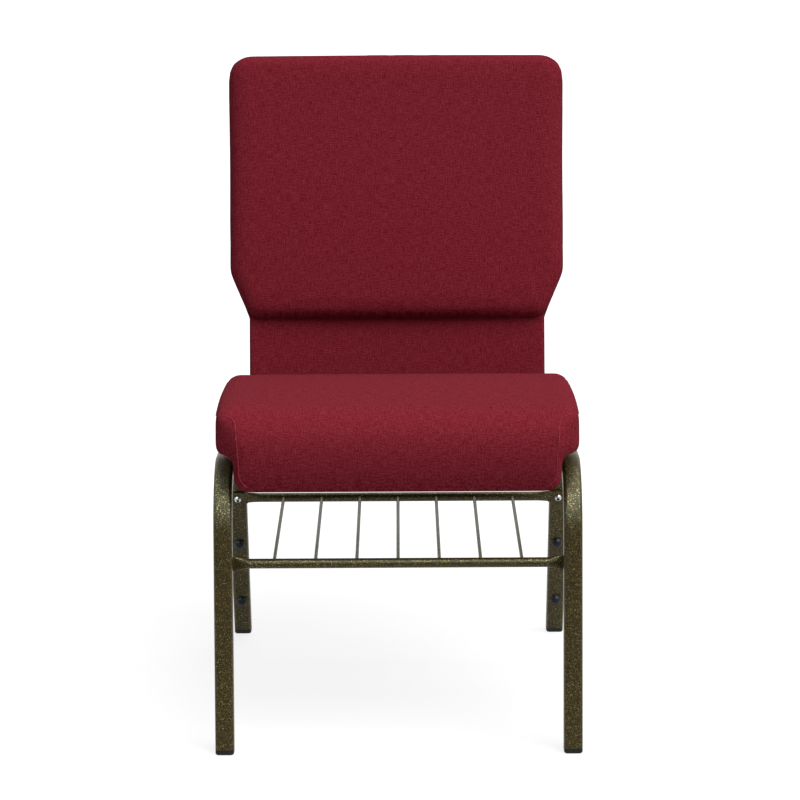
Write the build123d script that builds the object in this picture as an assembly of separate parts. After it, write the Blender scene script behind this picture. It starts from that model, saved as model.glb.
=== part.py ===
from build123d import *
import math
import os

# Stacking guest chair with an upholstered seat and back, a square-tube steel
# frame and a wire book rack under the seat. Millimetres and degrees.
# Origin: on the floor, midway between the four feet. +Z up, the front faces -Y.

# Stance
FOOT_SPAN = 573.0          # front foot centre to rear foot centre, at the floor
FRAME_WIDTH = 470.0        # over the outside of the two side frames
FRONT_LEAN = 6.5           # the front legs lean back as they rise
REAR_LEAN = 23.2           # the rear legs lean forward as they rise
SEAT_PITCH = 5.0           # rails and seat fall towards the rear
RAIL_HEIGHT = 359.0        # where the axes of front leg and rail cross

# Side frames and cross tubes, square steel tube
TUBE = 24.0
TUBE_CORNER = 5.0
TUBE_WALL = 1.5
BEND_RADIUS = 80.0         # at the tube's axis
FRONT_CROSS_REACH = 90.0   # front cross tube behind the front corner, along the rail
REAR_CROSS_REACH = 285.0   # rear cross tube behind the front corner, along the rail

# Floor glides, pushed into the tube ends
GLIDE_HEIGHT = 7.0
GLIDE_ROUND = 3.0
GLIDE_PLUG = 20.0          # length inside the tube
GLIDE_FIT = 0.15           # gap round the plug

# Stacking bumpers on the front of the rear legs
BUMPER_DIAMETER = 16.0
BUMPER_HEIGHT = 7.0
BUMPER_STEM = 6.0
BUMPER_STEM_LENGTH = 8.0
BUMPER_LOW = 65.0          # from the floor, along the leg
BUMPER_HIGH = 167.0
STEM_FIT = 0.1             # gap round a stem or shank in its hole

# Book rack
RACK_BAR = 12.7            # round tube
RACK_BAR_WALL = 1.2
RACK_FLAT = 3.2            # thickness of the flattened ends
RACK_FLAT_WIDTH = 18.0
RACK_FLARE = 18.0          # length over which the bar is pressed flat
RACK_FLARE_GAP = 2.0       # from the flare to the leg's inner side
RACK_FRONT_UP = 243.0      # front bar, from the floor along the front leg
RACK_REAR_UP = 250.0       # rear bar, from the floor along the rear leg
WIRE = 4.5
WIRE_COUNT = 7
WIRE_PITCH = 53.0
RACK_SCREW = 6.0
RACK_SCREW_DROP = 2.5      # the screws sit this far below the bars' axes
RACK_SCREW_HEAD = 10.0
RACK_SCREW_HEAD_HEIGHT = 3.3
RACK_SCREW_LENGTH = 14.0
SCREW_SOCKET = 4.0         # across the flats of the hexagon socket
SCREW_SOCKET_DEPTH = 2.2
RIVET_NUT = 9.0
RIVET_NUT_LENGTH = 12.0

# Seat, measured in the plane of the rails
SEAT_WIDTH = 462.0
SEAT_DEPTH = 396.0
SEAT_OVERHANG = 49.0       # ahead of the rail's front corner
SPACER_HEIGHT = 12.0       # between the cross tubes and the seat board
SPACER_DIAMETER = 22.0
SEAT_BOARD = 12.0          # plywood
SEAT_FOAM = 48.0
SEAT_CROWN = 7.0           # extra height in the middle of the top
SEAT_EDGE_CROWN = 1.0      # the same, along the sides
SEAT_WAIST = 1.5           # the sides draw in this much at mid depth
NOSE_RADIUS = 46.0         # front roll
TUCK_RADIUS = 87.0         # the front face curls back under the roll
LIP_DROP = 48.0            # the front lip hangs this far below the seat board
LIP_BACK = 53.0            # front of the seat to the back of the lip
LIP_SETBACK = 0.5          # the lip starts this far behind the front of the roll
LIP_ROUND = 9.0
LIP_CORNER = 22.0
LIP_CLEARANCE = 2.0        # from the lip to each side frame
SEAT_REAR_ROUND = 16.0
SEAT_SIDE_ROUND = 12.0
BOARD_SETBACK = 29.0       # from the front of the seat to the board's front edge
BOARD_EDGE = 1.0           # the board stays this far inside the rounded edges
COVER = 1.2                # upholstery fabric
DUST_COVER = 1.0
DUST_COVER_MARGIN = 8.0
DUST_COVER_GAP = 2.0       # behind the lip, and round the spacers
SEAT_BOLT = 6.0
SEAT_BOLT_HEAD = 13.0
SEAT_BOLT_HEAD_HEIGHT = 4.0
SEAT_BOLT_SPREAD = 300.0   # between the left and the right bolts
TEE_NUT_FLANGE = 19.0
TEE_NUT_FLANGE_HEIGHT = 1.5
TEE_NUT_BARREL = 8.0
BOLT_FIT = 0.3             # gap round a seat bolt

# Back, measured in its own reclined plane
RECLINE = 13.5
BACK_GAP = 2.0             # behind the seat, at the foot of the back
BACK_FOOT = 32.0           # foot of the back above the rails
BACK_HEIGHT = 477.0        # foot of the lower panel to the top edge
LOWER_WIDTH = 403.0        # lower panel
FLARE_START = 118.0        # the outline widens from here, above the foot
FLARE_END = 180.0
SHOULDER_WIDTH = 455.0     # at the end of the flare
TOP_WIDTH = 456.0
BACK_WAIST = 1.5           # the sides draw in this much above the flare
WAIST_RADIUS = 4000.0
TOP_CORNER = 30.0
FLARE_ROUND = 40.0
FLARE_ROOT = 18.0          # rounding where the flare starts
FOOT_CORNER = 6.0
CUSHION_FRONT = 31.0       # middle of the cushion, ahead of the lower panel
CUSHION_CROWN = 7.0
CUSHION_ROUND = 20.0
LOWER_PAD = 4.8
LOWER_EDGE = 4.0           # rounding of the lower panel's front edges
BACK_BOARD = 8.0           # plywood
BACK_BOARD_EDGE = 9.0      # foam round the edge of the board
LOWER_BOARD_EDGE = 4.0     # the same in the lower panel
HOOP = 19.0                # square tube inside the back
HOOP_CORNER = 3.5
HOOP_WALL = 1.2
HOOP_WIDTH = 379.0         # over the two uprights
HOOP_BEND = 60.0
HOOP_TOP_EDGE = 21.0       # top of the back to the top of the hoop
REAR_BOARD = 3.0           # hardboard behind the hoop
SOFT_GAP = 0.3             # soft filling to hard neighbours
BACK_SCREW = 4.2
BACK_SCREW_HEAD = 8.0
BACK_SCREW_HEAD_HEIGHT = 2.4
BACK_SCREW_LOW = 60.0      # heights of the board screws above the foot
BACK_SCREW_MIDDLE = 230.0
BACK_SCREW_HIGH = 390.0

# Places that follow from the sizes above
FRAME_X = (FRAME_WIDTH - TUBE) / 2
FRAME_INSIDE = FRAME_WIDTH / 2 - TUBE
RACK_AXIS_GAP = TUBE / 2 + RACK_FLAT / 2
SEAT_FLOOR = SPACER_HEIGHT
SEAT_TOP = SPACER_HEIGHT + SEAT_BOARD + SEAT_FOAM + COVER
SEAT_FRONT = -SEAT_OVERHANG
SEAT_REAR = SEAT_DEPTH - SEAT_OVERHANG
NOSE_HEIGHT = SEAT_TOP - NOSE_RADIUS
LIP_HALF = FRAME_INSIDE - LIP_CLEARANCE
LIP_BOTTOM = SEAT_FLOOR - LIP_DROP
BOARD_FRONT = -COVER - LOWER_PAD
BOARD_REAR = BOARD_FRONT - BACK_BOARD
HOOP_REAR = BOARD_REAR - HOOP
HOOP_AXIS = BOARD_REAR - HOOP / 2
HOOP_X = (HOOP_WIDTH - HOOP) / 2
CROSS_AXIS = BOARD_REAR + TUBE / 2
REAR_FACE = HOOP_REAR - REAR_BOARD - COVER
OVERRUN = 60.0             # helper lengths that are trimmed off again
SIDES = {"left": -1, "right": 1}

front_tan = math.tan(math.radians(FRONT_LEAN))
rear_tan = math.tan(math.radians(REAR_LEAN))
pitch_tan = math.tan(math.radians(SEAT_PITCH))


def leaning_plane(y, z, lean):
    """Plane whose normal rises from (y, z) and leans back by lean degrees."""
    angle = math.radians(lean)
    return Plane((0, y, z), x_dir=(1, 0, 0), z_dir=(0, math.sin(angle), math.cos(angle)))


# Front corner of the rail, and the planes of the legs, the seat and the back
corner_y = -FOOT_SPAN / 2 + RAIL_HEIGHT * front_tan
FRONT_LEG = leaning_plane(-FOOT_SPAN / 2, 0, FRONT_LEAN)
REAR_LEG = leaning_plane(FOOT_SPAN / 2, 0, -REAR_LEAN)
RAIL = leaning_plane(corner_y, RAIL_HEIGHT, SEAT_PITCH)
SEAT = RAIL.offset(TUBE / 2)
back_origin = SEAT.from_local_coords(Vector(0, SEAT_REAR + BACK_GAP, BACK_FOOT))
recline = math.radians(RECLINE)
BACK = Plane(back_origin, x_dir=(1, 0, 0), z_dir=(0, -math.cos(recline), math.sin(recline)))
back_swing = math.radians(RECLINE - SEAT_PITCH)
CROSS_UP = (-TUBE / 2 - BACK_FOOT - CROSS_AXIS * math.sin(back_swing)) / math.cos(back_swing)
HOOP_FOOT = CROSS_UP - TUBE / 2


def square_tube(size, corner, wall):
    """Cross-section of a square tube with rounded corners."""
    bore = size - 2 * wall
    return RectangleRounded(size, size, corner) - RectangleRounded(bore, bore, corner - wall)


def slab(low, high):
    """Everything between two heights above the floor."""
    reach = 4 * FOOT_SPAN
    return Pos(0, 0, (low + high) / 2) * Box(reach, reach, high - low)


def box_between(low, high):
    """Box from its lowest to its highest corner."""
    size = [high[i] - low[i] for i in range(3)]
    middle = [(high[i] + low[i]) / 2 for i in range(3)]
    return Pos(*middle) * Box(*size)


def rod(place, diameter, start, end):
    """Round rod along the normal of a place, from start to end."""
    return place * Pos(0, 0, (start + end) / 2) * Cylinder(diameter / 2, end - start)


# Places on the legs: the rack's bars and screws, and the bumpers.
# Each plane lies on the face of a leg with its normal pointing away from the leg.
def leg_face(leg, x, up, front):
    """Plane on the front or the rear face of a leg at a distance up from the floor."""
    side = -1 if front else 1
    origin = leg.from_local_coords(Vector(x, side * TUBE / 2, up))
    return Plane(origin, x_dir=(1, 0, 0), z_dir=leg.y_dir * side)


def rack_screw_places():
    """Outer faces of the flattened rack ends, at the four screws."""
    places = []
    for x in (-FRAME_X, FRAME_X):
        for leg, bar_up, front in ((FRONT_LEG, RACK_FRONT_UP, False), (REAR_LEG, RACK_REAR_UP, True)):
            places.append(leg_face(leg, x, bar_up - RACK_SCREW_DROP, front).offset(RACK_FLAT))
    return places


def bumper_place(x, up):
    return leg_face(REAR_LEG, x, up, front=True)


# Side frame: one square tube bent into front leg, rail and rear leg
def side_frame(side):
    x = side * FRAME_X
    rear_y = FOOT_SPAN / 2 - rear_tan * (RAIL_HEIGHT + corner_y * pitch_tan)
    rear_y /= 1 - rear_tan * pitch_tan
    rear_z = RAIL_HEIGHT - (rear_y - corner_y) * pitch_tan
    route = FilletPolyline(
        (-FOOT_SPAN / 2 - OVERRUN * front_tan, -OVERRUN),
        (corner_y, RAIL_HEIGHT),
        (rear_y, rear_z),
        (FOOT_SPAN / 2 + OVERRUN * rear_tan, -OVERRUN),
        radius=BEND_RADIUS,
    )
    route = Plane.YZ * route
    start = Plane(route @ 0, x_dir=(1, 0, 0), z_dir=route % 0)
    tube = sweep(start * square_tube(TUBE, TUBE_CORNER, TUBE_WALL), path=route)
    tube = Pos(x, 0, 0) * tube
    tube -= slab(-4 * OVERRUN, GLIDE_HEIGHT)
    for place in rack_screw_places():
        tube -= rod(place, RIVET_NUT, -TUBE / 2, 0)
    for up in (BUMPER_LOW, BUMPER_HIGH):
        tube -= rod(bumper_place(x, up), BUMPER_STEM, -TUBE / 2, TUBE / 4)
    return tube


# Cross tubes: welded between the rails, with holes for the seat bolts
def bolt_places(reach):
    return [SEAT * Pos(side * SEAT_BOLT_SPREAD / 2, reach, 0) for side in (-1, 1)]


def seat_cross_tube(reach):
    across = Plane((-FRAME_INSIDE, reach, -TUBE / 2), x_dir=(0, 1, 0), z_dir=(1, 0, 0))
    tube = SEAT * extrude(across * square_tube(TUBE, TUBE_CORNER, TUBE_WALL), 2 * FRAME_INSIDE)
    for place in bolt_places(reach):
        tube -= rod(place, SEAT_BOLT + 2 * BOLT_FIT, -2 * TUBE, TUBE)
    return tube


def back_cross_tube():
    across = Plane((-FRAME_INSIDE, CROSS_UP, CROSS_AXIS), x_dir=(0, 1, 0), z_dir=(1, 0, 0))
    return BACK * extrude(across * square_tube(TUBE, TUBE_CORNER, TUBE_WALL), 2 * FRAME_INSIDE)


# Back hoop: a smaller square tube bent into an upside-down U inside the back
def back_hoop():
    top = BACK_HEIGHT - HOOP_TOP_EDGE - HOOP / 2
    route = FilletPolyline(
        (-HOOP_X, HOOP_FOOT), (-HOOP_X, top), (HOOP_X, top), (HOOP_X, HOOP_FOOT), radius=HOOP_BEND
    )
    route = Pos(0, 0, HOOP_AXIS) * route
    start = Plane(route @ 0, x_dir=(1, 0, 0), z_dir=route % 0)
    return BACK * sweep(start * square_tube(HOOP, HOOP_CORNER, HOOP_WALL), path=route)


# Floor glide: moulded foot with a plug inside the leg
def glide(leg, side):
    place = leg * Pos(side * FRAME_X, 0, -OVERRUN)
    foot = place * extrude(RectangleRounded(TUBE, TUBE, TUBE_CORNER), 2 * OVERRUN)
    foot &= slab(0, GLIDE_HEIGHT)
    foot = fillet(foot.edges().group_by(Axis.Z)[0], GLIDE_ROUND)
    plug_size = TUBE - 2 * TUBE_WALL - 2 * GLIDE_FIT
    plug_corner = TUBE_CORNER - TUBE_WALL - GLIDE_FIT
    plug = place * extrude(RectangleRounded(plug_size, plug_size, plug_corner), 2 * OVERRUN)
    plug &= slab(GLIDE_HEIGHT, GLIDE_HEIGHT + GLIDE_PLUG)
    return foot + plug


# Stacking bumper: domed button on a stem pushed into the leg
def leg_bumper(side, up):
    place = bumper_place(side * FRAME_X, up)
    half = BUMPER_DIAMETER / 2
    dome_radius = (half**2 + BUMPER_HEIGHT**2) / (2 * BUMPER_HEIGHT)
    dome = Pos(0, 0, BUMPER_HEIGHT - dome_radius) * Sphere(dome_radius)
    dome &= Pos(0, 0, BUMPER_HEIGHT / 2) * Cylinder(half, BUMPER_HEIGHT)
    stem = Pos(0, 0, -BUMPER_STEM_LENGTH / 2) * Cylinder(BUMPER_STEM / 2 - STEM_FIT, BUMPER_STEM_LENGTH)
    return place * (dome + stem)


# Rack bar: round tube with both ends pressed flat and screwed to the legs
def rack_bar(leg, up, front):
    side = -1 if front else 1
    turn = Plane(
        leg.from_local_coords(Vector(0, side * RACK_AXIS_GAP, up)), x_dir=leg.z_dir, z_dir=(1, 0, 0)
    )
    flat_start = FRAME_INSIDE - RACK_FLARE_GAP
    round_end = flat_start - RACK_FLARE
    flat_end = FRAME_X + RACK_FLAT_WIDTH / 2
    bar = Cylinder(RACK_BAR / 2, 2 * round_end)
    bar -= Cylinder(RACK_BAR / 2 - RACK_BAR_WALL, 2 * round_end)
    for end in (-1, 1):
        circle = Plane((0, 0, end * round_end), x_dir=(1, 0, 0), z_dir=(0, 0, end)) * Circle(RACK_BAR / 2)
        oval = Plane((0, 0, end * flat_start), x_dir=(1, 0, 0), z_dir=(0, 0, end))
        oval = oval * Ellipse(RACK_FLAT_WIDTH / 2, RACK_FLAT / 2)
        flare = loft([circle.face(), oval.face()])
        tab = Pos(0, 0, end * (flat_start + flat_end) / 2)
        tab = tab * Box(RACK_FLAT_WIDTH, RACK_FLAT, flat_end - flat_start)
        outer = tab.edges().filter_by(Axis.Y).group_by(Axis.Z)[-1 if end > 0 else 0]
        tab = fillet(outer, RACK_FLAT_WIDTH / 2 - STEM_FIT)
        bar += flare
        bar += tab
    bar = turn * bar
    for place in rack_screw_places():
        bar -= rod(place, RACK_SCREW + 2 * STEM_FIT, -2 * RACK_FLAT, RACK_FLAT)
    return bar


def rack_axis_point(leg, x, up, front):
    side = -1 if front else 1
    return leg.from_local_coords(Vector(x, side * RACK_AXIS_GAP, up))


# Rack wire: rod welded between the two bars, its ends shaped to the bars
def rack_wire(number):
    x = (number - (WIRE_COUNT + 1) / 2) * WIRE_PITCH
    front = rack_axis_point(FRONT_LEG, x, RACK_FRONT_UP, front=False)
    rear = rack_axis_point(REAR_LEG, x, RACK_REAR_UP, front=True)
    line = Plane(front, x_dir=(1, 0, 0), z_dir=rear - front)
    wire = rod(line, WIRE, 0, (rear - front).length)
    for end in (front, rear):
        bar = Plane(end, x_dir=(0, 0, 1), z_dir=(1, 0, 0))
        wire -= rod(bar, RACK_BAR, -WIRE_PITCH / 2, WIRE_PITCH / 2)
    return wire


# Rack screws: domed heads with a hexagon socket, and the nuts riveted into the legs
def rack_screw(place):
    half = RACK_SCREW_HEAD / 2
    head_radius = (half**2 + RACK_SCREW_HEAD_HEIGHT**2) / (2 * RACK_SCREW_HEAD_HEIGHT)
    head = Pos(0, 0, RACK_SCREW_HEAD_HEIGHT - head_radius) * Sphere(head_radius)
    head &= Pos(0, 0, RACK_SCREW_HEAD_HEIGHT / 2) * Cylinder(half, RACK_SCREW_HEAD_HEIGHT)
    socket_floor = RACK_SCREW_HEAD_HEIGHT - SCREW_SOCKET_DEPTH
    socket = extrude(RegularPolygon(SCREW_SOCKET / 2, 6, major_radius=False), RACK_SCREW_HEAD_HEIGHT)
    head -= Pos(0, 0, socket_floor) * socket
    shank = Pos(0, 0, -RACK_SCREW_LENGTH / 2) * Cylinder(RACK_SCREW / 2, RACK_SCREW_LENGTH)
    return place * (head + shank)


def rivet_nut(place):
    nut = rod(place, RIVET_NUT, -RACK_FLAT - RIVET_NUT_LENGTH, -RACK_FLAT)
    return nut - rod(place, RACK_SCREW + 2 * STEM_FIT, -2 * TUBE, TUBE)


# Seat cushion form: a crowned body with a rolled front, and a lip that hangs
# between the front legs. Inset moves every outer surface inwards.
def seat_section(x, inset, crown, floor):
    front = SEAT_FRONT + inset
    rear = SEAT_REAR - inset
    top = SEAT_TOP - inset
    nose = NOSE_RADIUS - inset
    under = NOSE_HEIGHT - floor
    corner = SEAT_REAR_ROUND - inset
    middle = (front + nose + rear - corner) / 2
    outline = [
        Line((front + under, floor), (rear - corner, floor)),
        RadiusArc((rear - corner, floor), (rear, floor + corner), -corner),
        Line((rear, floor + corner), (rear, top - corner)),
        RadiusArc((rear, top - corner), (rear - corner, top), -corner),
        ThreePointArc((rear - corner, top), (middle, top + crown), (front + nose, top)),
        RadiusArc((front + nose, top), (front, top - nose), -nose),
        RadiusArc((front, top - nose), (front + under, floor), -under),
    ]
    across = Plane((x, 0, 0), x_dir=(0, 1, 0), z_dir=(1, 0, 0))
    return (across * make_face(outline)).face()


def seat_lip(inset):
    front = SEAT_FRONT + LIP_SETBACK + inset
    tuck = TUCK_RADIUS - inset
    bottom = LIP_BOTTOM + inset
    back = SEAT_FRONT + LIP_BACK - inset
    drop = NOSE_HEIGHT - bottom
    tuck_y = front + tuck - math.sqrt(tuck**2 - drop**2)
    outline = [
        RadiusArc((front, NOSE_HEIGHT), (tuck_y, bottom), -tuck),
        Line((tuck_y, bottom), (back, bottom)),
        Line((back, bottom), (back, NOSE_HEIGHT)),
        Line((back, NOSE_HEIGHT), (front, NOSE_HEIGHT)),
    ]
    profile = make_face(outline)
    profile = fillet(profile.vertices().group_by(Axis.Y)[0], LIP_ROUND - inset)
    half = LIP_HALF - inset
    across = Plane((-half, 0, 0), x_dir=(0, 1, 0), z_dir=(1, 0, 0))
    lip = extrude(across * profile, 2 * half)
    apron = Pos(0, (bottom + NOSE_HEIGHT) / 2) * Rectangle(2 * half, NOSE_HEIGHT - bottom)
    apron = fillet(apron.vertices().group_by(Axis.Y)[0], LIP_CORNER - inset)
    return lip & extrude(Plane.XZ * apron, SEAT_DEPTH, both=True)


def seat_plan(half):
    """The seat seen from above: its sides draw in a little between the corners."""
    middle = (SEAT_FRONT + SEAT_REAR) / 2
    waist = half - SEAT_WAIST
    outline = [
        Line((-half, SEAT_FRONT), (half, SEAT_FRONT)),
        ThreePointArc((half, SEAT_FRONT), (waist, middle), (half, SEAT_REAR)),
        Line((half, SEAT_REAR), (-half, SEAT_REAR)),
        ThreePointArc((-half, SEAT_REAR), (-waist, middle), (-half, SEAT_FRONT)),
    ]
    return extrude(make_face(outline), 2 * SEAT_TOP, both=True)


def seat_form(inset, floor):
    half = SEAT_WIDTH / 2 - inset
    sections = [
        seat_section(-half, inset, SEAT_EDGE_CROWN, floor),
        seat_section(0, inset, SEAT_CROWN, floor),
        seat_section(half, inset, SEAT_EDGE_CROWN, floor),
    ]
    body = loft(sections) & seat_plan(half)
    ends = body.faces().sort_by(Axis.X)
    body = fillet(ends[0].edges() + ends[-1].edges(), SEAT_SIDE_ROUND - inset)
    return body + seat_lip(inset)


def seat_board_outline():
    """Lowest and highest corners of the seat board."""
    half = SEAT_WIDTH / 2 - SEAT_SIDE_ROUND - BOARD_EDGE
    rear = SEAT_REAR - SEAT_REAR_ROUND - BOARD_EDGE
    low = (-half, SEAT_FRONT + BOARD_SETBACK, SEAT_FLOOR)
    high = (half, rear, SEAT_FLOOR + SEAT_BOARD)
    return low, high


def seat_bolt_places():
    return bolt_places(FRONT_CROSS_REACH) + bolt_places(REAR_CROSS_REACH)


def seat_board():
    board = SEAT * box_between(*seat_board_outline())
    for place in seat_bolt_places():
        board -= rod(place, TEE_NUT_BARREL, 0, SEAT_TOP)
        flange_floor = SEAT_FLOOR + SEAT_BOARD - TEE_NUT_FLANGE_HEIGHT
        board -= rod(place, TEE_NUT_FLANGE, flange_floor, SEAT_TOP)
    return board


# Foam: a block on the board, and a strip under its front that fills the lip
def seat_slab(low, high):
    """All of the seat's room between two heights above the rails."""
    half = SEAT_WIDTH / 2
    return box_between((-half, SEAT_FRONT, low), (half, SEAT_REAR, high))


def seat_foam():
    foam = seat_form(COVER, SEAT_FLOOR) & seat_slab(SEAT_FLOOR, 2 * SEAT_TOP)
    return SEAT * (foam - box_between(*seat_board_outline()))


def seat_lip_foam():
    return SEAT * (seat_lip(COVER) & seat_slab(LIP_BOTTOM, SEAT_FLOOR))


def seat_cover():
    return SEAT * (seat_form(0, SEAT_FLOOR) - seat_form(COVER, SEAT_FLOOR - COVER))


def seat_dust_cover():
    low, high = seat_board_outline()
    front = SEAT_FRONT + LIP_BACK + DUST_COVER_GAP
    sheet_low = (low[0] + DUST_COVER_MARGIN, front, SEAT_FLOOR - DUST_COVER)
    sheet_high = (high[0] - DUST_COVER_MARGIN, high[1] - DUST_COVER_MARGIN, SEAT_FLOOR)
    sheet = SEAT * box_between(sheet_low, sheet_high)
    for place in seat_bolt_places():
        sheet -= rod(place, SPACER_DIAMETER + DUST_COVER_GAP, 0, SEAT_TOP)
    return sheet


# Seat fixings: spacer, bolt and tee nut at each of the four places
def seat_spacer(place):
    return rod(place, SPACER_DIAMETER, 0, SPACER_HEIGHT) - rod(
        place, SEAT_BOLT + 2 * BOLT_FIT, -SPACER_HEIGHT, 2 * SPACER_HEIGHT
    )


def seat_bolt(place):
    tip = SEAT_FLOOR + SEAT_BOARD - TEE_NUT_FLANGE_HEIGHT
    shank = rod(place, SEAT_BOLT, -TUBE, tip)
    return shank + rod(place, SEAT_BOLT_HEAD, -TUBE - SEAT_BOLT_HEAD_HEIGHT, -TUBE)


def tee_nut(place):
    top = SEAT_FLOOR + SEAT_BOARD
    nut = rod(place, TEE_NUT_FLANGE, top - TEE_NUT_FLANGE_HEIGHT, top)
    nut += rod(place, TEE_NUT_BARREL, SEAT_FLOOR, top)
    return nut - rod(place, SEAT_BOLT + 2 * STEM_FIT, 0, SEAT_TOP)


# Back outlines: half of the outline from the foot to the top edge, then its mirror image
def back_outline(inset, foot, foot_corner):
    waist_up = (FLARE_END + BACK_HEIGHT) / 2
    waist = (SHOULDER_WIDTH + TOP_WIDTH) / 4 - BACK_WAIST
    corners = [(LOWER_WIDTH / 2 - inset, foot, foot_corner)]
    if foot < FLARE_START:
        corners.append((LOWER_WIDTH / 2 - inset, FLARE_START, FLARE_ROOT))
    corners.append((SHOULDER_WIDTH / 2 - inset, FLARE_END, FLARE_ROUND))
    corners.append((waist - inset, waist_up, WAIST_RADIUS))
    corners.append((TOP_WIDTH / 2 - inset, BACK_HEIGHT - inset, TOP_CORNER - inset))
    right = [(x, up) for x, up, radius in corners]
    left = [(-x, up) for x, up in reversed(right)]
    radii = [radius for x, up, radius in corners]
    return make_face(FilletPolyline(*right, *left, radius=radii + radii[::-1], close=True))


def prism(face, low, high):
    """Straight prism of an outline between two depths of the back."""
    return extrude(Pos(0, 0, low) * face, high - low)


# Upper cushion: crowned front with rounded edges
def cushion_form(inset, rear):
    outline = back_outline(inset, FLARE_START + inset, CUSHION_ROUND + COVER)
    half = SHOULDER_WIDTH / 2
    crown_radius = (half**2 + CUSHION_CROWN**2) / (2 * CUSHION_CROWN)
    middle = (FLARE_START + BACK_HEIGHT) / 2
    ball = Pos(0, middle, CUSHION_FRONT - crown_radius) * Sphere(crown_radius - inset)
    form = prism(outline, rear, 2 * CUSHION_FRONT) & ball
    front = form.faces().sort_by(Axis.Z)[-1]
    return fillet(front.edges(), CUSHION_ROUND - inset)


def back_pocket():
    """Room for the board, the hoop and the filler behind the cushion."""
    upper = back_outline(BACK_BOARD_EDGE, FLARE_START + BACK_BOARD_EDGE, CUSHION_ROUND)
    pocket = prism(upper, 2 * REAR_FACE, BOARD_FRONT)
    half = LOWER_WIDTH / 2 - LOWER_BOARD_EDGE
    passage_low = (-half, FLARE_START - TOP_CORNER, 2 * REAR_FACE)
    return pocket + box_between(passage_low, (half, FLARE_END, BOARD_FRONT))


def back_foam():
    return BACK * (cushion_form(COVER, HOOP_REAR) - back_pocket())


def back_cover():
    cover = cushion_form(0, HOOP_REAR) - cushion_form(COVER, HOOP_REAR - COVER)
    return BACK * (cover - back_pocket())


def back_screw_places():
    places = []
    for side in (-1, 1):
        for up in (BACK_SCREW_LOW, BACK_SCREW_MIDDLE, BACK_SCREW_HIGH):
            places.append(BACK * Pos(side * HOOP_X, up, BOARD_FRONT))
    return places


def back_screw(place):
    tip = -BACK_BOARD - HOOP / 2
    shank = rod(place, BACK_SCREW, tip, -BACK_SCREW_HEAD_HEIGHT)
    return shank + rod(place, BACK_SCREW_HEAD, -BACK_SCREW_HEAD_HEIGHT, 0)


def back_board():
    upper = back_outline(BACK_BOARD_EDGE, FLARE_START + BACK_BOARD_EDGE, CUSHION_ROUND)
    half = LOWER_WIDTH / 2 - LOWER_BOARD_EDGE
    board = prism(upper, BOARD_REAR, BOARD_FRONT)
    board += box_between((-half, 0, BOARD_REAR), (half, FLARE_END, BOARD_FRONT))
    board = BACK * board
    for place in back_screw_places():
        board -= rod(place, BACK_SCREW_HEAD, -BACK_SCREW_HEAD_HEIGHT, BACK_BOARD)
        board -= rod(place, BACK_SCREW, -2 * BACK_BOARD, BACK_BOARD)
    return board


def back_hoop_drilled():
    hoop = back_hoop()
    for place in back_screw_places():
        hoop -= rod(place, BACK_SCREW, -BACK_BOARD - HOOP / 2, 0)
    return hoop


# Filler between the uprights of the hoop, flush with the board and the rear panel
def back_filler():
    half = HOOP_X - HOOP / 2 - SOFT_GAP
    top = BACK_HEIGHT - HOOP_TOP_EDGE - HOOP - SOFT_GAP
    sheet = Pos(0, top / 2) * Rectangle(2 * half, top)
    sheet = fillet(sheet.vertices().group_by(Axis.Y)[-1], HOOP_BEND - HOOP / 2 - SOFT_GAP)
    return BACK * prism(sheet, HOOP_REAR, BOARD_REAR)


# Lower panel: thin pad and a sleeve of fabric round its front and sides
def lower_back_pad():
    half = LOWER_WIDTH / 2 - COVER
    pad = box_between((-half, 0, BOARD_FRONT), (half, FLARE_START, BOARD_FRONT + LOWER_PAD))
    edges = pad.edges().filter_by(Axis.Y).group_by(Axis.Z)[-1]
    return BACK * fillet(edges, LOWER_EDGE - COVER)


def lower_back_cover():
    half = LOWER_WIDTH / 2
    sleeve = box_between((-half, 0, HOOP_REAR), (half, FLARE_START, 0))
    sleeve = fillet(sleeve.edges().filter_by(Axis.Y).group_by(Axis.Z)[-1], LOWER_EDGE)
    inner = half - COVER
    hollow = box_between((-inner, -OVERRUN, 2 * HOOP_REAR), (inner, FLARE_START + OVERRUN, -COVER))
    hollow = fillet(hollow.edges().filter_by(Axis.Y).group_by(Axis.Z)[-1], LOWER_EDGE - COVER)
    return BACK * (sleeve - hollow)


# Rear panel: hardboard covered with fabric that turns over its edges
def rear_panel_board():
    outline = back_outline(COVER, COVER, FOOT_CORNER - COVER)
    return BACK * prism(outline, HOOP_REAR - REAR_BOARD, HOOP_REAR)


def rear_panel_cover():
    outer = prism(back_outline(0, 0, FOOT_CORNER), REAR_FACE, HOOP_REAR)
    inner = prism(back_outline(COVER, COVER, FOOT_CORNER - COVER), HOOP_REAR - REAR_BOARD, 0)
    return BACK * (outer - inner)


def group(shapes):
    """Several separate solids that share one name."""
    return Compound(children=[shape.solid() for shape in shapes])


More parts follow.
